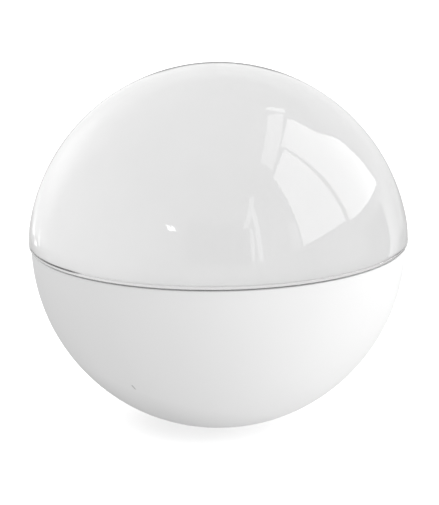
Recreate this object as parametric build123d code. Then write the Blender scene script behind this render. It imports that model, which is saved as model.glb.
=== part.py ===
"""Ball-shaped lidded case: a matte double-walled base with a glossy lift-off dome.

The origin is the centre of the foot's lower face, +Z is the axis of the ball, and all sizes are in
millimetres. Every sub-part is a solid of revolution about Z.
"""

import os
from math import acos, asin, cos, sin, sqrt

from build123d import *

# Driving dimensions
ball_diameter = 57.15
base_radius = 28.2
base_centre = 27.7
rim_height = 27.42
dome_height = 27.17
shadow_gap = 0.25

# Base shell
shell_wall = 2.0
shell_flat_height = 0.2
shell_floor_height = 3.2
shell_rim_round = 0.15
shell_flat_round = 0.4
rebate_radius = 27.1
rebate_depth = 1.45

# Foot pad and its recess
pad_radius = 5.2
pad_thickness = 1.0
pad_side_gap = 0.05
pad_round = 0.2

# Ballast disc
ballast_radius = 9.0
ballast_chamfer = 0.4

# Inner cup
cup_radius = 22.4
cup_wall = 1.6
cup_floor_height = 9.0
cup_floor_round = 3.0
flange_radius = 27.05
flange_round = 0.12
neck_radius = 24.65
neck_rise = 5.0
neck_lead_in = 0.4
neck_mouth_round = 0.6

# Seal ring and its groove in the neck
seal_cord = 1.2
seal_rise = 2.6
groove_width = 1.5

# Lid
dome_radius = 28.81
dome_blend_radius = 14.0
dome_wall = 1.8
lip_height = 0.45
lip_round = 0.3
lip_step = 0.05
lip_groove_width = 0.15
lip_groove_depth = 0.18
sleeve_gap = 0.05
sleeve_rise = 5.5
sleeve_lead_in = 0.35

# Values that follow from the ones above
lip_radius = ball_diameter / 2
seat_height = rim_height + shadow_gap
skirt_radius = lip_radius - lip_step
apex_height = rim_height + dome_height
dome_centre = apex_height - dome_radius
dome_hollow_radius = dome_radius - dome_wall
shell_hollow_radius = base_radius - shell_wall
cup_outer_radius = cup_radius + cup_wall
cup_bottom_height = cup_floor_height - cup_wall
sleeve_radius = neck_radius + sleeve_gap
seal_height = seat_height + seal_rise


def at(radius, height):
    """Point of an outline, by its distance from the axis and its height."""
    return Vector(radius, 0, height)


def ball_radius_at(radius, centre, height):
    """Distance from the axis of a ball's surface at a height."""
    return sqrt(radius**2 - (height - centre) ** 2)


def arc(centre, radius, low, high):
    """Arc about a point of the outline, between two angles above level."""
    points = []
    for angle in (low, (low + high) / 2, high):
        points.append(centre + at(radius * cos(angle), radius * sin(angle)))
    return ThreePointArc(*points)


def ball_arc(radius, centre, first, last):
    """Arc of a ball's outline between two heights."""
    low = asin(max(-1, (first - centre) / radius))
    high = asin(min(1, (last - centre) / radius))
    return arc(at(0, centre), radius, low, high)


def turned(*outline):
    """Solid made by turning a closed outline about the Z axis."""
    return revolve(make_face(outline), axis=Axis.Z)


def rings(solid, radius, height):
    """Round edges of a turned solid with a given radius and height."""
    close = 1e-3
    found = []
    for edge in solid.edges().filter_by(GeomType.CIRCLE):
        if abs(edge.radius - radius) < close and abs(edge.arc_center.Z - height) < close:
            found.append(edge)
    return found


def straight(*points):
    """Straight runs through a list of points."""
    return Polyline(*points).edges()


def base_shell():
    """Matte lower half, with a rebate for the cup's flange and a recess for the foot pad."""
    flat_radius = ball_radius_at(base_radius, base_centre, shell_flat_height)
    rim_radius = ball_radius_at(base_radius, base_centre, rim_height)
    floor_radius = ball_radius_at(shell_hollow_radius, base_centre, shell_floor_height)
    ledge_height = rim_height - rebate_depth
    ledge_radius = ball_radius_at(shell_hollow_radius, base_centre, ledge_height)
    recess_radius = pad_radius + pad_side_gap
    shell = turned(
        ball_arc(base_radius, base_centre, shell_flat_height, rim_height),
        *straight(
            at(rim_radius, rim_height),
            at(rebate_radius, rim_height),
            at(rebate_radius, ledge_height),
            at(ledge_radius, ledge_height),
        ),
        ball_arc(shell_hollow_radius, base_centre, shell_floor_height, ledge_height),
        *straight(
            at(floor_radius, shell_floor_height),
            at(0, shell_floor_height),
            at(0, pad_thickness),
            at(recess_radius, pad_thickness),
            at(recess_radius, shell_flat_height),
            at(flat_radius, shell_flat_height),
        ),
    )
    shell = fillet(rings(shell, rim_radius, rim_height), shell_rim_round)
    return fillet(rings(shell, flat_radius, shell_flat_height), shell_flat_round)


def foot_pad():
    """Soft disc under the base, which stands just proud of the shell."""
    pad = Pos(0, 0, pad_thickness / 2) * Cylinder(pad_radius, pad_thickness)
    return fillet(rings(pad, pad_radius, 0), pad_round)


def ballast_disc():
    """Steel disc clamped between the shell's floor and the cup."""
    thickness = cup_bottom_height - shell_floor_height
    disc = Pos(0, 0, shell_floor_height + thickness / 2) * Cylinder(ballast_radius, thickness)
    edges = []
    for height in (shell_floor_height, cup_bottom_height):
        edges += rings(disc, ballast_radius, height)
    return chamfer(edges, ballast_chamfer)


def inner_cup():
    """Liner with a flange that sits in the shell and a neck that stands up into the lid."""
    neck_height = seat_height + neck_rise
    ledge_height = rim_height - rebate_depth
    groove_radius = neck_radius - seal_cord
    groove_low = seal_height - groove_width / 2
    groove_high = seal_height + groove_width / 2
    floor_radius = ball_radius_at(cup_radius, base_centre, cup_floor_height)
    bottom_radius = ball_radius_at(cup_outer_radius, base_centre, cup_bottom_height)
    under_radius = ball_radius_at(cup_outer_radius, base_centre, ledge_height)
    cup = turned(
        *straight(
            at(cup_radius, base_centre),
            at(cup_radius, neck_height),
            at(neck_radius, neck_height),
            at(neck_radius, groove_high),
            at(groove_radius, groove_high),
            at(groove_radius, groove_low),
            at(neck_radius, groove_low),
            at(neck_radius, seat_height),
            at(flange_radius, seat_height),
            at(flange_radius, ledge_height),
            at(under_radius, ledge_height),
        ),
        ball_arc(cup_outer_radius, base_centre, cup_bottom_height, ledge_height),
        *straight(
            at(bottom_radius, cup_bottom_height),
            at(0, cup_bottom_height),
            at(0, cup_floor_height),
            at(floor_radius, cup_floor_height),
        ),
        ball_arc(cup_radius, base_centre, cup_floor_height, base_centre),
    )
    cup = fillet(rings(cup, floor_radius, cup_floor_height), cup_floor_round)
    cup = fillet(rings(cup, flange_radius, seat_height), flange_round)
    cup = chamfer(rings(cup, neck_radius, neck_height), neck_lead_in)
    return fillet(rings(cup, cup_radius, neck_height), neck_mouth_round)


def seal_ring():
    """O-ring in the neck's groove, drawn as squeezed flush with the neck."""
    return Pos(0, 0, seal_height) * Torus(neck_radius - seal_cord / 2, seal_cord / 2)


def lid_dome():
    """Glossy dome: a ball that blends into an upright skirt, with a grooved lip at its edge."""
    hollow_edge = ball_radius_at(dome_hollow_radius, dome_centre, seat_height)
    groove_radius = lip_radius - lip_groove_depth
    groove_low = seat_height + lip_height
    groove_high = groove_low + lip_groove_width
    blend_reach = dome_radius - dome_blend_radius
    blend_angle = acos(1 - (dome_radius - skirt_radius) / blend_reach)
    blend_centre = at(blend_reach * cos(blend_angle), dome_centre + blend_reach * sin(blend_angle))
    blend_top = dome_centre + dome_radius * sin(blend_angle)
    dome = turned(
        ball_arc(dome_radius, dome_centre, blend_top, apex_height),
        Line(at(0, apex_height), at(0, apex_height - dome_wall)),
        ball_arc(dome_hollow_radius, dome_centre, seat_height, apex_height - dome_wall),
        *straight(
            at(hollow_edge, seat_height),
            at(lip_radius, seat_height),
            at(lip_radius, groove_low),
            at(groove_radius, groove_low),
            at(groove_radius, groove_high),
            at(skirt_radius, groove_high),
            at(skirt_radius, blend_centre.Z),
        ),
        arc(blend_centre, dome_blend_radius, 0, blend_angle),
    )
    return fillet(rings(dome, lip_radius, seat_height), lip_round)


def lid_sleeve():
    """Ring bonded inside the dome, which slides over the neck and centres the lid."""
    top_height = seat_height + sleeve_rise
    low_radius = ball_radius_at(dome_hollow_radius, dome_centre, seat_height)
    top_radius = ball_radius_at(dome_hollow_radius, dome_centre, top_height)
    sleeve = turned(
        ball_arc(dome_hollow_radius, dome_centre, seat_height, top_height),
        *straight(
            at(top_radius, top_height),
            at(sleeve_radius, top_height),
            at(sleeve_radius, seat_height),
            at(low_radius, seat_height),
        ),
    )
    return chamfer(rings(sleeve, sleeve_radius, seat_height), sleeve_lead_in)


os.makedirs("parts", exist_ok=True)
for make in (base_shell, foot_pad, ballast_disc, inner_cup, seal_ring, lid_dome, lid_sleeve):
    export_step(make(), f"parts/{make.__name__}.step")
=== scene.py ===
"""Ball-shaped lidded case: milky glossy dome lid over a matte white base, in soft studio light."""

from math import acos, asin, atan2, cos, pi, radians, sin, sqrt, tan

import bmesh
import bpy
from mathutils import Matrix, Vector


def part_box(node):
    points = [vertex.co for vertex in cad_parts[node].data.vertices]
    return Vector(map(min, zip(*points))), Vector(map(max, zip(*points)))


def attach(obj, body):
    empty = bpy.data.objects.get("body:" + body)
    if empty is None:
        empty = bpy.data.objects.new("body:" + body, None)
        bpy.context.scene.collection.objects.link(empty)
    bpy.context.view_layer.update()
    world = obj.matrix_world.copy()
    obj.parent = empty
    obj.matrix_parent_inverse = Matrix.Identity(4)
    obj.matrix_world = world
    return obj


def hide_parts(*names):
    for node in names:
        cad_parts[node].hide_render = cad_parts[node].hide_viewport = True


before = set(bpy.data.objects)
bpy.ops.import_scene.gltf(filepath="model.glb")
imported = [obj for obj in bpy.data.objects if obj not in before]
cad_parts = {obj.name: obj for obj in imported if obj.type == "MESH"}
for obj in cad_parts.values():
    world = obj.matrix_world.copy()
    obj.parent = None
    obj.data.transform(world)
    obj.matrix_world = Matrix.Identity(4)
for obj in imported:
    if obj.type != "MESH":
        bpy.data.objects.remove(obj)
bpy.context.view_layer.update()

MM = 0.001
ON_AXIS = 1e-6
TURN_STEPS = 240
BALL_STEP = radians(1.5)
CORNER_STEP = radians(10)
SHARP_ANGLE = radians(28)

# Walls and rounds that the boxes don't give, in millimetres
DOME_RADIUS = 28.81
DOME_BLEND_RADIUS = 14.0
DOME_WALL = 1.8
LIP_HEIGHT = 0.45
LIP_ROUND = 0.3
LIP_STEP = 0.05
LIP_GROOVE_WIDTH = 0.15
LIP_GROOVE_DEPTH = 0.18
LIP_EDGE_ROUND = 0.03
SHELL_WALL = 2.0
BASE_RADIUS = 28.2
BASE_CENTRE = 27.7
SHELL_RIM_ROUND = 0.15
SHELL_FLAT_ROUND = 0.4
CUP_WALL = 1.6
CUP_FLOOR_ROUND = 3.0
NECK_ROUND = 0.6
NECK_LEAD_IN = 0.4
FLANGE_ROUND = 0.12
NECK_RADIUS = 24.65
CUP_RADIUS = 22.4
GROOVE_WIDTH = 1.5
GROOVE_ROUND = 0.2
REBATE_RADIUS = 27.1
REBATE_DEPTH = 1.45
RECESS_GAP = 0.05
RUNNING_GAP = 0.05
SLEEVE_LEAD_IN = 0.35
SLEEVE_ROUND = 0.3
PAD_ROUND = 0.2
PAD_RINGS = (1.6, 2.8, 4.0)
PAD_RING_WIDTH = 0.5
PAD_RING_DEPTH = 0.12
BALLAST_CHAMFER = 0.4
BALLAST_CENTRE_DRILL = 0.8


def box_mm(name):
    """(radius, lowest height, highest height) of a turned CAD node, in millimetres."""
    low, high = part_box(name)
    return high[0] / MM, low[2] / MM, high[2] / MM


lip_radius, seat_height, apex_height = box_mm("lid_dome")
shell_flat_height, rim_height = box_mm("base_shell")[1:]
flange_radius, cup_bottom_height, neck_height = box_mm("inner_cup")
seal_radius, seal_low, seal_high = box_mm("seal_ring")
sleeve_top_height = box_mm("lid_sleeve")[2]
pad_radius, pad_low, pad_high = box_mm("foot_pad")
ballast_radius, ballast_low, ballast_high = box_mm("ballast_disc")

dome_centre = apex_height - DOME_RADIUS
hollow_radius = DOME_RADIUS - DOME_WALL
ledge_height = rim_height - REBATE_DEPTH


def towards(azimuth, elevation):
    """Unit vector; azimuth goes from the camera's side (-Y) round to the right (+X), in degrees."""
    turn, rise = radians(azimuth), radians(elevation)
    return Vector((sin(turn) * cos(rise), -cos(turn) * cos(rise), sin(rise)))


# ---------------------------------------------------------------- outlines

def arc(centre, radius, start, stop, step=CORNER_STEP):
    """Points of an arc in the outline plane, as (distance from the axis, height); angles in radians."""
    count = max(2, int(abs(stop - start) / step) + 1)
    points = []
    for i in range(count + 1):
        angle = start + (stop - start) * i / count
        points.append((centre[0] + radius * cos(angle), centre[1] + radius * sin(angle)))
    return points


def ball_arc(radius, centre, first, last):
    """Arc of a ball centred on the axis, between two heights."""
    low = asin(max(-1.0, (first - centre) / radius))
    high = asin(min(1.0, (last - centre) / radius))
    return arc((0, centre), radius, low, high, BALL_STEP)


def ball_radius_at(radius, centre, height):
    """Distance from the axis of a ball's surface at a height."""
    return sqrt(radius**2 - (height - centre) ** 2)


def rounded(*corners):
    """Points through corners of (distance, height, round), each round drawn as an arc."""
    points = []
    for before, corner, after in zip(corners[-1:] + corners[:-1], corners, corners[1:] + corners[:1]):
        here = Vector(corner[:2])
        if not corner[2]:
            points.append(tuple(here))
            continue
        back = (Vector(before[:2]) - here).normalized()
        ahead = (Vector(after[:2]) - here).normalized()
        half = back.angle(ahead) / 2
        centre = here + (back + ahead).normalized() * corner[2] / sin(half)
        start = here + back * corner[2] / tan(half) - centre
        stop = here + ahead * corner[2] / tan(half) - centre
        first = atan2(start.y, start.x)
        turn = (atan2(stop.y, stop.x) - first + pi) % (2 * pi) - pi
        points += arc(centre, corner[2], first, first + turn)
    return points


def sharp(points):
    """The same points as corners with no round."""
    return [(*point, 0) for point in points]


def dome_outline():
    """Dome: a ball that blends into an upright skirt, with a grooved lip at its edge."""
    inside = ball_arc(hollow_radius, dome_centre, seat_height, apex_height - DOME_WALL)
    skirt_radius = lip_radius - LIP_STEP
    groove_radius = lip_radius - LIP_GROOVE_DEPTH
    groove_low = seat_height + LIP_HEIGHT
    groove_high = groove_low + LIP_GROOVE_WIDTH
    lip = rounded(
        (*inside[0], 0),
        (lip_radius, seat_height, LIP_ROUND),
        (lip_radius, groove_low, LIP_EDGE_ROUND),
        (groove_radius, groove_low, 0),
        (groove_radius, groove_high, 0),
        (skirt_radius, groove_high, LIP_EDGE_ROUND),
        (skirt_radius, apex_height, 0),
    )
    reach = DOME_RADIUS - DOME_BLEND_RADIUS
    blend = acos(1 - (DOME_RADIUS - skirt_radius) / reach)
    blend_centre = (reach * cos(blend), dome_centre + reach * sin(blend))
    skirt = arc(blend_centre, DOME_BLEND_RADIUS, 0, blend, BALL_STEP)
    outside = arc((0, dome_centre), DOME_RADIUS, blend, pi / 2, BALL_STEP)
    return lip[:-1] + skirt + outside[1:] + inside[:0:-1]


def base_outline():
    """Lower half with a rebate in its rim and a recess under it."""
    outside = ball_arc(BASE_RADIUS, BASE_CENTRE, shell_flat_height, rim_height)
    inside = ball_arc(BASE_RADIUS - SHELL_WALL, BASE_CENTRE, ballast_low, ledge_height)
    recess_radius = pad_radius + RECESS_GAP
    return rounded(
        (*outside[0], SHELL_FLAT_ROUND),
        *sharp(outside[1:-1]),
        (*outside[-1], SHELL_RIM_ROUND),
        (REBATE_RADIUS, rim_height, 0),
        (REBATE_RADIUS, ledge_height, 0),
        *sharp(inside[::-1]),
        (0, ballast_low, 0),
        (0, pad_high, 0),
        (recess_radius, pad_high, 0),
        (recess_radius, shell_flat_height, PAD_ROUND),
    )


def cup_outline():
    """Liner: bowl, flange, and a neck with a groove for the seal."""
    floor_height = cup_bottom_height + CUP_WALL
    outside = ball_arc(CUP_RADIUS + CUP_WALL, BASE_CENTRE, cup_bottom_height, ledge_height)
    corner_height = floor_height + CUP_FLOOR_ROUND
    corner_distance = ball_radius_at(CUP_RADIUS - CUP_FLOOR_ROUND, BASE_CENTRE, corner_height)
    meeting = atan2(corner_height - BASE_CENTRE, corner_distance)
    bowl = arc((0, BASE_CENTRE), CUP_RADIUS, 0, meeting, BALL_STEP)
    bowl += arc((corner_distance, corner_height), CUP_FLOOR_ROUND, meeting, -pi / 2)[1:]
    seal_middle = (seal_low + seal_high) / 2
    groove_radius = seal_radius - (seal_high - seal_low)
    return rounded(
        (0, cup_bottom_height, 0),
        *sharp(outside),
        (flange_radius, ledge_height, 0),
        (flange_radius, seat_height, FLANGE_ROUND),
        (NECK_RADIUS, seat_height, 0),
        (NECK_RADIUS, seal_middle - GROOVE_WIDTH / 2, 0),
        (groove_radius, seal_middle - GROOVE_WIDTH / 2, GROOVE_ROUND),
        (groove_radius, seal_middle + GROOVE_WIDTH / 2, GROOVE_ROUND),
        (NECK_RADIUS, seal_middle + GROOVE_WIDTH / 2, 0),
        (NECK_RADIUS, neck_height - NECK_LEAD_IN, 0),
        (NECK_RADIUS - NECK_LEAD_IN, neck_height, 0),
        (CUP_RADIUS, neck_height, NECK_ROUND),
        *sharp(bowl),
        (0, floor_height, 0),
    )


def seal_outline():
    """Round section of the O-ring."""
    cord = (seal_high - seal_low) / 2
    return arc((seal_radius - cord, seal_low + cord), cord, 0, 2 * pi)[:-1]


def sleeve_outline():
    """Ring that fills the dome's hollow out to its wall and slides over the neck."""
    outside = ball_arc(hollow_radius, dome_centre, seat_height, sleeve_top_height)
    inner_radius = NECK_RADIUS + RUNNING_GAP
    return rounded(
        *sharp(outside),
        (inner_radius, sleeve_top_height, SLEEVE_ROUND),
        (inner_radius, seat_height + SLEEVE_LEAD_IN, 0),
        (inner_radius + SLEEVE_LEAD_IN, seat_height, 0),
    )


def pad_outline():
    """Soft disc with shallow round grooves in its underside."""
    corners = [(0, pad_low, 0)]
    for distance in PAD_RINGS:
        corners.append((distance - PAD_RING_WIDTH / 2, pad_low, 0))
        corners.append((distance, pad_low + PAD_RING_DEPTH, PAD_RING_DEPTH))
        corners.append((distance + PAD_RING_WIDTH / 2, pad_low, 0))
    corners.append((pad_radius, pad_low, PAD_ROUND))
    corners.append((pad_radius, pad_high, 0))
    corners.append((0, pad_high, 0))
    return rounded(*corners)


def ballast_outline():
    """Turned disc with chamfered edges and a centre drilling."""
    return [
        (0, ballast_low),
        (ballast_radius - BALLAST_CHAMFER, ballast_low),
        (ballast_radius, ballast_low + BALLAST_CHAMFER),
        (ballast_radius, ballast_high - BALLAST_CHAMFER),
        (ballast_radius - BALLAST_CHAMFER, ballast_high),
        (BALLAST_CENTRE_DRILL, ballast_high),
        (0, ballast_high - BALLAST_CENTRE_DRILL),
    ]


def turned(name, outline, material):
    """Mesh made by turning a closed outline, in millimetres, about the Z axis."""
    build = bmesh.new()
    rings = []
    for distance, height in outline:
        ring = []
        count = TURN_STEPS if distance > ON_AXIS else 1
        for i in range(count):
            angle = 2 * pi * i / TURN_STEPS
            place = (distance * cos(angle) * MM, distance * sin(angle) * MM, height * MM)
            ring.append(build.verts.new(place))
        rings.append(ring)
    for lower, upper in zip(rings, rings[1:] + rings[:1]):
        for i in range(TURN_STEPS):
            corners = []
            for ring, k in ((lower, i), (lower, i + 1), (upper, i + 1), (upper, i)):
                vertex = ring[k % len(ring)]
                if vertex not in corners:
                    corners.append(vertex)
            if len(corners) > 2:
                build.faces.new(corners)
    bmesh.ops.recalc_face_normals(build, faces=build.faces)
    mesh = bpy.data.meshes.new(name)
    build.to_mesh(mesh)
    build.free()
    mesh.polygons.foreach_set("use_smooth", [True] * len(mesh.polygons))
    mesh.set_sharp_from_angle(angle=SHARP_ANGLE)
    mesh.materials.append(material)
    piece = bpy.data.objects.new(name, mesh)
    bpy.context.scene.collection.objects.link(piece)
    return piece


# ---------------------------------------------------------------- materials

def new_material(name, roughness, ior=1.49, **sockets):
    """Material with its constant values on the Principled shader; returns it with tree and shader."""
    material = bpy.data.materials.new(name)
    material.use_nodes = True
    tree = material.node_tree
    shader = tree.nodes["Principled BSDF"]
    shader.inputs["Roughness"].default_value = roughness
    shader.inputs["IOR"].default_value = ior
    for socket, value in sockets.items():
        shader.inputs[socket.replace("_", " ")].default_value = value
    return material, tree, shader


def noise(tree, scale, detail=3.0, roughness=0.5):
    """Noise over the object's own space; scale is in cells per metre."""
    coords = tree.nodes.new("ShaderNodeTexCoord")
    texture = tree.nodes.new("ShaderNodeTexNoise")
    texture.inputs["Scale"].default_value = scale
    texture.inputs["Detail"].default_value = detail
    texture.inputs["Roughness"].default_value = roughness
    tree.links.new(coords.outputs["Object"], texture.inputs["Vector"])
    return texture.outputs["Fac"]


def ranged(tree, value, source, target):
    """A value mapped from one range to another."""
    mapping = tree.nodes.new("ShaderNodeMapRange")
    tree.links.new(value, mapping.inputs["Value"])
    ends = (*source, *target)
    for socket, end in zip(("From Min", "From Max", "To Min", "To Max"), ends):
        mapping.inputs[socket].default_value = end
    return mapping.outputs["Result"]


def blended(tree, factor, first, second):
    """Colour between two, each a grey level or another node's colour."""
    mix = tree.nodes.new("ShaderNodeMix")
    mix.data_type = "RGBA"
    tree.links.new(factor, mix.inputs["Factor"])
    slots = [socket for socket in mix.inputs if socket.type == "RGBA"]
    for slot, colour in zip(slots, (first, second)):
        if isinstance(colour, float):
            slot.default_value = (colour, colour, colour, 1)
        else:
            tree.links.new(colour, slot)
    return next(socket for socket in mix.outputs if socket.type == "RGBA")


def computed(tree, operation, *values):
    """Result of a math node; each value is a number or another node's output."""
    node = tree.nodes.new("ShaderNodeMath")
    node.operation = operation
    for slot, value in zip(node.inputs, values):
        if isinstance(value, (int, float)):
            slot.default_value = value
        else:
            tree.links.new(value, slot)
    return node.outputs["Value"]


def bumped(tree, shader, height, distance, strength=1.0):
    """Bump of the given depth in metres."""
    bump = tree.nodes.new("ShaderNodeBump")
    bump.inputs["Distance"].default_value = distance
    bump.inputs["Strength"].default_value = strength
    tree.links.new(height, bump.inputs["Height"])
    tree.links.new(bump.outputs["Normal"], shader.inputs["Normal"])


# Painted shade round the dome's edge, where shade falls in the lip's groove on the left and under the
# lip on the right. Spreads are in millimetres from the band's middle height. Ends are turns in degrees
# from +X, so
# -90 faces the camera. Each pair runs from no shade to full shade.
lip_middle = seat_height + LIP_HEIGHT / 2
groove_middle = seat_height + LIP_HEIGHT + LIP_GROOVE_WIDTH / 2
DOME_PAINTED_SHADE = (
    # height, spread, near end, far end, factor past the far end, grey level
    (groove_middle, (0.16, 0.09), (-133, -138), (-175, -152), 0.35, 0.3),
    (lip_middle, (0.34, 0.22), (-38, -22), (-4, -17), 0, 0.5),
)


def ring_painted_shade(tree, height, spread, near_end, far_end, past_far_end):
    """Factor of the painted shade in a level band round a turned piece."""
    coords = tree.nodes.new("ShaderNodeTexCoord")
    split = tree.nodes.new("ShaderNodeSeparateXYZ")
    tree.links.new(coords.outputs["Object"], split.inputs["Vector"])
    off_height = computed(tree, "SUBTRACT", split.outputs["Z"], height * MM)
    edges = [distance * MM for distance in spread]
    band = ranged(tree, computed(tree, "ABSOLUTE", off_height), edges, (0, 1))
    turn = computed(tree, "ARCTAN2", split.outputs["Y"], split.outputs["X"])
    end = ranged(tree, turn, [radians(angle) for angle in near_end], (0, 1))
    fading = ranged(tree, turn, [radians(angle) for angle in far_end], (past_far_end, 1))
    return computed(tree, "MULTIPLY", band, computed(tree, "MULTIPLY", end, fading))


def milky_gloss():
    """Glossy milky plastic: faint clouds in the body, painted shade round its lip, faint smears in the
    gloss.
    """
    material, tree, shader = new_material(
        "milky_gloss",
        roughness=0.03,
        Subsurface_Weight=1.0,
        Subsurface_Radius=(1.0, 1.0, 1.0),
        Subsurface_Scale=0.0012,
    )
    clouds = noise(tree, 70.0)
    colour = blended(tree, ranged(tree, clouds, (0.35, 0.65), (0, 1)), 0.86, 0.88)
    # Painted shade: darkens the lip's groove on the left and the lip itself on the right.
    for *band, grey in DOME_PAINTED_SHADE:
        colour = blended(tree, ring_painted_shade(tree, *band), colour, grey)
    tree.links.new(colour, shader.inputs["Base Color"])
    smears = noise(tree, 160.0, detail=5.0)
    tree.links.new(ranged(tree, smears, (0.45, 0.75), (0.012, 0.035)), shader.inputs["Roughness"])
    bumped(tree, shader, noise(tree, 45.0, detail=1.0), 0.00002)
    return material


def measured(tree, operation, vector):
    """The object's own space measured against a vector, as a dot product or a distance."""
    coords = tree.nodes.new("ShaderNodeTexCoord")
    node = tree.nodes.new("ShaderNodeVectorMath")
    node.operation = operation
    node.inputs[1].default_value = vector
    tree.links.new(coords.outputs["Object"], node.inputs[0])
    return node.outputs["Value"]


# Scuff low on the left of the base: azimuth and elevation, lean, and none-to-full edges
SCUFF_PLACE = (-34, -37.5)
SCUFF_LEAN = radians(-76)
SCUFF_LENGTH_EDGES = (0.6 * MM, 0.4 * MM)
SCUFF_WIDTH_EDGES = (0.16 * MM, 0.06 * MM)


def scuff_mark(tree):
    """Factor of one short dark scuff on the base."""
    outward = towards(*SCUFF_PLACE)
    level = outward.cross(Vector((0, 0, -1))).normalized()
    along = Matrix.Rotation(SCUFF_LEAN, 3, outward) @ level
    across = outward.cross(along)
    middle = Vector((0, 0, BASE_CENTRE * MM)) + outward * BASE_RADIUS * MM
    offset = computed(tree, "SUBTRACT", measured(tree, "DOT_PRODUCT", across), middle.dot(across))
    length = ranged(tree, measured(tree, "DISTANCE", middle), SCUFF_LENGTH_EDGES, (0, 1))
    width = ranged(tree, computed(tree, "ABSOLUTE", offset), SCUFF_WIDTH_EDGES, (0, 1))
    return computed(tree, "MULTIPLY", length, width)


# Painted shade on the underside of the base, where the ground shades it: azimuth and elevation of its
# middle, and how far out from the ball's middle that way, in radii, the shade starts and is full
UNDERSIDE_PLACE = (-90, -75)
UNDERSIDE_EDGES = (0.72, 0.92)


def underside_painted_shade(tree):
    """Factor of the painted shade low on the base, which reaches highest on the left."""
    lowest = towards(*UNDERSIDE_PLACE)
    middle = Vector((0, 0, BASE_CENTRE * MM)).dot(lowest)
    edges = [middle + share * BASE_RADIUS * MM for share in UNDERSIDE_EDGES]
    return ranged(tree, measured(tree, "DOT_PRODUCT", lowest), edges, (0, 1))


def matte_white():
    """Moulded matte plastic with a fine spark-eroded grain, painted shade on its underside and a few
    scuffs.
    """
    material, tree, shader = new_material("matte_white", roughness=0.55)
    patches = noise(tree, 60.0)
    scuffs = ranged(tree, noise(tree, 420.0, detail=6.0, roughness=0.65), (0.72, 0.80), (0, 1))
    # Painted shade darkens the base towards its underside.
    body = blended(tree, underside_painted_shade(tree), blended(tree, patches, 0.79, 0.82), 0.7)
    worn = blended(tree, scuffs, body, 0.66)
    tree.links.new(blended(tree, scuff_mark(tree), worn, 0.45), shader.inputs["Base Color"])
    tree.links.new(ranged(tree, patches, (0.3, 0.7), (0.48, 0.6)), shader.inputs["Roughness"])
    bumped(tree, shader, noise(tree, 6000.0, detail=2.0), 0.00001, 0.5)
    return material


def smooth_white(name, roughness, shade):
    """Moulded white plastic of the inner pieces, with faint flow marks."""
    material, tree, shader = new_material(name, roughness=roughness)
    flow = noise(tree, 120.0)
    tree.links.new(blended(tree, flow, shade - 0.015, shade + 0.015), shader.inputs["Base Color"])
    uneven = (roughness * 0.8, roughness * 1.2)
    tree.links.new(ranged(tree, flow, (0.3, 0.7), uneven), shader.inputs["Roughness"])
    bumped(tree, shader, noise(tree, 900.0), 0.000004)
    return material


def silicone():
    """Soft clear-grey silicone of the seal."""
    material, tree, shader = new_material(
        "silicone",
        roughness=0.4,
        ior=1.41,
        Subsurface_Weight=0.6,
        Subsurface_Radius=(1.0, 1.0, 1.0),
        Subsurface_Scale=0.0006,
    )
    dust = noise(tree, 1500.0, detail=4.0)
    tree.links.new(blended(tree, dust, 0.66, 0.74), shader.inputs["Base Color"])
    tree.links.new(ranged(tree, dust, (0.3, 0.7), (0.32, 0.5)), shader.inputs["Roughness"])
    bumped(tree, shader, dust, 0.000004)
    return material


def turned_steel():
    """Steel with the fine rings of a lathe."""
    material, tree, shader = new_material("turned_steel", roughness=0.3, Metallic=1.0)
    coords = tree.nodes.new("ShaderNodeTexCoord")
    rings = tree.nodes.new("ShaderNodeTexWave")
    rings.wave_type = "RINGS"
    rings.rings_direction = "Z"
    rings.inputs["Scale"].default_value = 1500.0
    rings.inputs["Distortion"].default_value = 0.4
    tree.links.new(coords.outputs["Object"], rings.inputs["Vector"])
    stain = noise(tree, 200.0)
    tree.links.new(blended(tree, stain, 0.52, 0.60), shader.inputs["Base Color"])
    tree.links.new(ranged(tree, stain, (0.3, 0.7), (0.24, 0.36)), shader.inputs["Roughness"])
    bumped(tree, shader, rings.outputs["Fac"], 0.000006)
    return material


def soft_pad():
    """Light grey soft rubber of the foot."""
    material, tree, shader = new_material("soft_pad", roughness=0.8)
    grain = noise(tree, 2500.0, detail=4.0)
    tree.links.new(blended(tree, grain, 0.34, 0.42), shader.inputs["Base Color"])
    tree.links.new(ranged(tree, grain, (0.3, 0.7), (0.7, 0.9)), shader.inputs["Roughness"])
    bumped(tree, shader, grain, 0.00002)
    return material


def pale_floor():
    """Pale, very slightly mottled studio floor."""
    material, tree, shader = new_material("pale_floor", roughness=0.9)
    tree.links.new(blended(tree, noise(tree, 3.0), 0.88, 0.9), shader.inputs["Base Color"])
    return material


def white_glow():
    """Even white of the far backdrop."""
    material, tree, shader = new_material("white_glow", roughness=1.0, Base_Color=(0, 0, 0, 1))
    shader.inputs["Emission Color"].default_value = (1, 1, 1, 1)
    shader.inputs["Emission Strength"].default_value = 1.1
    return material


# ---------------------------------------------------------------- pieces

PIECES = (
    # name, body, CAD node, outline, material
    ("dome_lid", "lid", "lid_dome", dome_outline(), milky_gloss()),
    ("lid_ring", "lid", "lid_sleeve", sleeve_outline(), smooth_white("satin_white", 0.35, 0.8)),
    ("lower_half", "base", "base_shell", base_outline(), matte_white()),
    ("liner_cup", "base", "inner_cup", cup_outline(), smooth_white("gloss_white", 0.18, 0.83)),
    ("neck_seal", "base", "seal_ring", seal_outline(), silicone()),
    ("ballast_weight", "base", "ballast_disc", ballast_outline(), turned_steel()),
    ("foot_disc", "base", "foot_pad", pad_outline(), soft_pad()),
)
shown = {}
for name, body, cad_node, outline, material in PIECES:
    piece = turned(name, outline, material)
    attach(piece, body)
    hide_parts(cad_node)
    # The CAD node that the piece stands for gets the same material.
    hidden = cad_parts[cad_node]
    hidden.data.materials.clear()
    hidden.data.materials.append(material)
    shown[name] = piece


# ---------------------------------------------------------------- stage and light

# Metres; the backdrop stays small enough for a camera that clips at about five metres
FLOOR_HALF_SIZE = 2.5
BACKDROP_RADIUS = 4.0
ball_middle = Vector((0, 0, dome_centre * MM))


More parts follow.
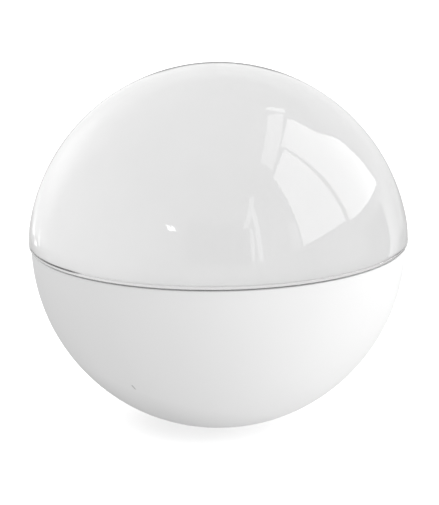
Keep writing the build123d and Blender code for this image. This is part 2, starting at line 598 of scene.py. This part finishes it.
def stage_quad(name, half_size, material):
    """Level square centred under the case."""
    mesh = bpy.data.meshes.new(name)
    corners = [(-1, -1), (1, -1), (1, 1), (-1, 1)]
    mesh.from_pydata([(x * half_size, y * half_size, 0) for x, y in corners], [], [(0, 1, 2, 3)])
    mesh.materials.append(material)
    made = bpy.data.objects.new(name, mesh)
    bpy.context.scene.collection.objects.link(made)
    return made


def area_light(name, place, look, size, radiance, diffuse, glossy, only_on=()):
    """Rectangular light of an even radiance, facing along look; only_on limits it to some objects."""
    data = bpy.data.lights.new(name, "AREA")
    data.shape = "RECTANGLE"
    data.size, data.size_y = size
    data.energy = radiance * pi * size[0] * size[1]
    lamp = bpy.data.objects.new(name, data)
    lamp.location = place
    lamp.rotation_euler = look.to_track_quat("-Z", "Y").to_euler()
    lamp.visible_camera = False
    lamp.visible_diffuse = diffuse
    lamp.visible_glossy = glossy
    bpy.context.scene.collection.objects.link(lamp)
    if only_on:
        group = bpy.data.collections.new(name + "_receivers")
        for receiver in only_on:
            group.objects.link(receiver)
        lamp.light_linking.receiver_collection = group
    return lamp


floor = stage_quad("floor", FLOOR_HALF_SIZE, pale_floor())
floor.visible_glossy = False
floor.visible_diffuse = False

# Window panes in a wall one metre to the right, seen in the dome's gloss. Sizes are in metres.
WALL_DISTANCE = 1
WINDOW_RADIANCE = 3.0
FAR_PANE_HEIGHTS = (0.24, 0.78, 0.84, 0.9, 0.96, 1.02, 1.07, 1.15, 1.24, 1.33, 1.42, 1.51, 1.6, 1.74)
FAR_PANE_FADE = 0.15
FAR_SIDE = 0.82
GLAZING_BAR_HEIGHT = 1.07
NOTCH_DEPTH = 0.16
NOTCH_REACH_ABOVE = 0.5
NOTCH_REACH_BELOW = 0.3


def far_side(above):
    """Far side of the window at a height: it draws in towards the glazing bar."""
    reach = NOTCH_REACH_ABOVE if above > GLAZING_BAR_HEIGHT else NOTCH_REACH_BELOW
    return FAR_SIDE - NOTCH_DEPTH * max(0, 1 - abs(above - GLAZING_BAR_HEIGHT) / reach)


PANES = [
    # name, along the wall (from the camera's side to the back), above the dome's middle, lean in
    # degrees, share of the window's radiance
    ("near_pane", (-0.78, -0.068), (0.27, 1.6), 0, 0.9),
    ("roof_pane", (-0.72, 0.98), (1.8, 2.45), 7, 0.5),
    ("roof_end_pane", (1.14, 1.3), (1.85, 2.65), -12, 0.62),
]
for low, high in zip(FAR_PANE_HEIGHTS, FAR_PANE_HEIGHTS[1:]):
    middle = (low + high) / 2
    share = 1.0 - FAR_PANE_FADE * middle
    PANES.append((f"far_pane_{low}", (-0.01, far_side(middle)), (low, high), 0, share))
for name, along, above, lean, share in PANES:
    place = ball_middle + Vector((WALL_DISTANCE, sum(along) / 2, sum(above) / 2))
    size = (along[1] - along[0], above[1] - above[0])
    pane = area_light(name, place, Vector((-1, 0, 0)), size, WINDOW_RADIANCE * share, False, True)
    pane.rotation_euler.rotate(Matrix.Rotation(radians(lean), 3, "X"))

# Soft shading, each light on one piece only, and the light on the floor
SOFT_LIGHT_DISTANCE = 0.6
SOFT_LIGHTS = (
    # name, direction it comes from, size, radiance, piece it lights
    ("right_soft", towards(94, -8), (2.0, 2.2), 0.77, "lower_half"),
    ("left_soft", towards(-110, 15), (0.5, 0.5), 0.6, "dome_lid"),
)
for name, source, size, radiance, lit_piece in SOFT_LIGHTS:
    place = ball_middle + SOFT_LIGHT_DISTANCE * source
    area_light(name, place, -source, size, radiance, True, False, [shown[lit_piece]])
floor_light_place = Vector((0, 0, 1.5))
down = Vector((0, 0, -1))
above_floor = area_light("floor_soft", floor_light_place, down, (4, 4), 1.775, True, False, [floor])
above_floor.data.use_shadow = False

# The room: an even light for shading, dimmer from straight below, and soft-edged patches that show
# in the gloss. Later patches lie over earlier ones.
EVEN_LEVEL = 0.885
BELOW_LEVEL = 0.2
BELOW_EDGES = (-76, -50)
GLOSS_LEVEL = 0.85
ROOM = (
    # azimuth, elevation, half width, half height, soft edge (all in degrees), lean (degrees sideways
    # for each degree up), level
    (160, 18, 24, 13, 8, 0, 1.08),
    (-152, 10, 24, 22, 8, 0, 1.1),
    (-141, 13, 8, 5, 9, 0, 1.5),
    (0, -40, 200, 30, 3, 0, 0.52),
    (-170, -47, 20, 25, 4, 0, 0.2),
    (150, -47, 40, 25, 4, 0, 0.2),
    (-142, -22, 16, 9, 1.5, 0, 0.3),
    (126.5, -6, 1, 8, 14, 0, 1.45),
    (112, -4, 12, 10, 0.8, 0, 0.55),
    (136, -25, 22, 9.5, 1, 0, 0.1),
    (-143, -10.8, 2.5, 0.6, 0.8, 0, 1.9),
    (-149, -8.6, 3, 0.6, 0.8, 0, 1.7),
    (-149.5, -6.5, 2, 0.6, 0.8, 0, 1.25),
    (-170.5, -10, 5.5, 5.5, 2.5, 0, 0.62),
    (162, -9.6, 9, 2.4, 1.2, 0, 0.57),
    (-136, -7.5, 0.7, 2.5, 0.7, 0, 1.9),
    (178, -4, 3, 8.5, 1.5, 0, 0.2),
    (-178, -4, 3, 8.5, 1.5, 0, 0.2),
    (0, 18, 17, 9, 7, 0, 0.35),
    (-30.5, 26.5, 2.3, 1, 0.7, -0.9, 9.0),
    (22.5, 36, 1.6, 8.5, 0.4, 0.55, 2.3),
    (25.3, 24, 1.4, 16, 0.2, 0, 2.5),
    (21, 17.5, 1, 9, 0.2, 0.05, 2.3),
    (48, 18, 2.7, 7, 0.6, 0.1, 1.6),
)
world = bpy.data.worlds.new("studio")
world.use_nodes = True
world.cycles.sampling_method = "NONE"
tree = world.node_tree
coords = tree.nodes.new("ShaderNodeTexCoord")
split = tree.nodes.new("ShaderNodeSeparateXYZ")
tree.links.new(coords.outputs["Generated"], split.inputs["Vector"])
away = computed(tree, "MULTIPLY", split.outputs["Y"], -1)
turn = computed(tree, "DEGREES", computed(tree, "ARCTAN2", split.outputs["X"], away))
rise = computed(tree, "DEGREES", computed(tree, "ARCSINE", split.outputs["Z"]))
in_gloss = GLOSS_LEVEL
for azimuth, elevation, half_width, half_height, soft, lean, level in ROOM:
    upward = computed(tree, "SUBTRACT", rise, elevation)
    upright = computed(tree, "SUBTRACT", turn, computed(tree, "MULTIPLY", upward, lean))
    aside = computed(tree, "SUBTRACT", upright, azimuth)
    inside = 1
    for off, reach in ((aside, half_width), (upward, half_height)):
        within = ranged(tree, computed(tree, "ABSOLUTE", off), (reach + soft, reach), (0, 1))
        inside = computed(tree, "MULTIPLY", inside, within)
    in_gloss = blended(tree, inside, in_gloss, level)
rays = tree.nodes.new("ShaderNodeLightPath")
even = blended(tree, ranged(tree, rise, BELOW_EDGES, (0, 1)), BELOW_LEVEL, EVEN_LEVEL)
lit = blended(tree, rays.outputs["Is Diffuse Ray"], in_gloss, even)
tree.links.new(lit, tree.nodes["Background"].inputs["Color"])
bpy.context.scene.world = world

backdrop_mesh = bpy.data.meshes.new("backdrop")
build = bmesh.new()
bmesh.ops.create_uvsphere(build, u_segments=48, v_segments=24, radius=BACKDROP_RADIUS)
build.to_mesh(backdrop_mesh)
build.free()
backdrop_mesh.materials.append(white_glow())
backdrop = bpy.data.objects.new("backdrop", backdrop_mesh)
bpy.context.scene.collection.objects.link(backdrop)
backdrop.visible_diffuse = False
backdrop.visible_glossy = False
backdrop.visible_transmission = False
backdrop.visible_shadow = False


# ---------------------------------------------------------------- camera

# Degrees and millimetres
ELEVATION = 14.27
DISTANCE = 338.4
ROLL = 0.65
AIM_RIGHT = 0.15
AIM_BELOW_RIM = 1.59
LENS = 159.5
SENSOR_WIDTH = 36.0

camera_data = bpy.data.cameras.new("camera")
camera_data.lens = LENS
camera_data.sensor_width = SENSOR_WIDTH
camera_data.clip_start = 0.01
camera_data.clip_end = 50.0
camera = bpy.data.objects.new("camera", camera_data)
bpy.context.scene.collection.objects.link(camera)
bpy.context.scene.camera = camera
view = towards(0, ELEVATION)
aim = Vector((AIM_RIGHT, 0, rim_height - AIM_BELOW_RIM))
camera.location = (aim + view * DISTANCE) * MM
roll = Matrix.Rotation(radians(-ROLL), 3, "Z").to_quaternion()
camera.rotation_euler = (view.to_track_quat("Z", "Y") @ roll).to_euler()

bpy.context.scene.view_settings.view_transform = "Standard"
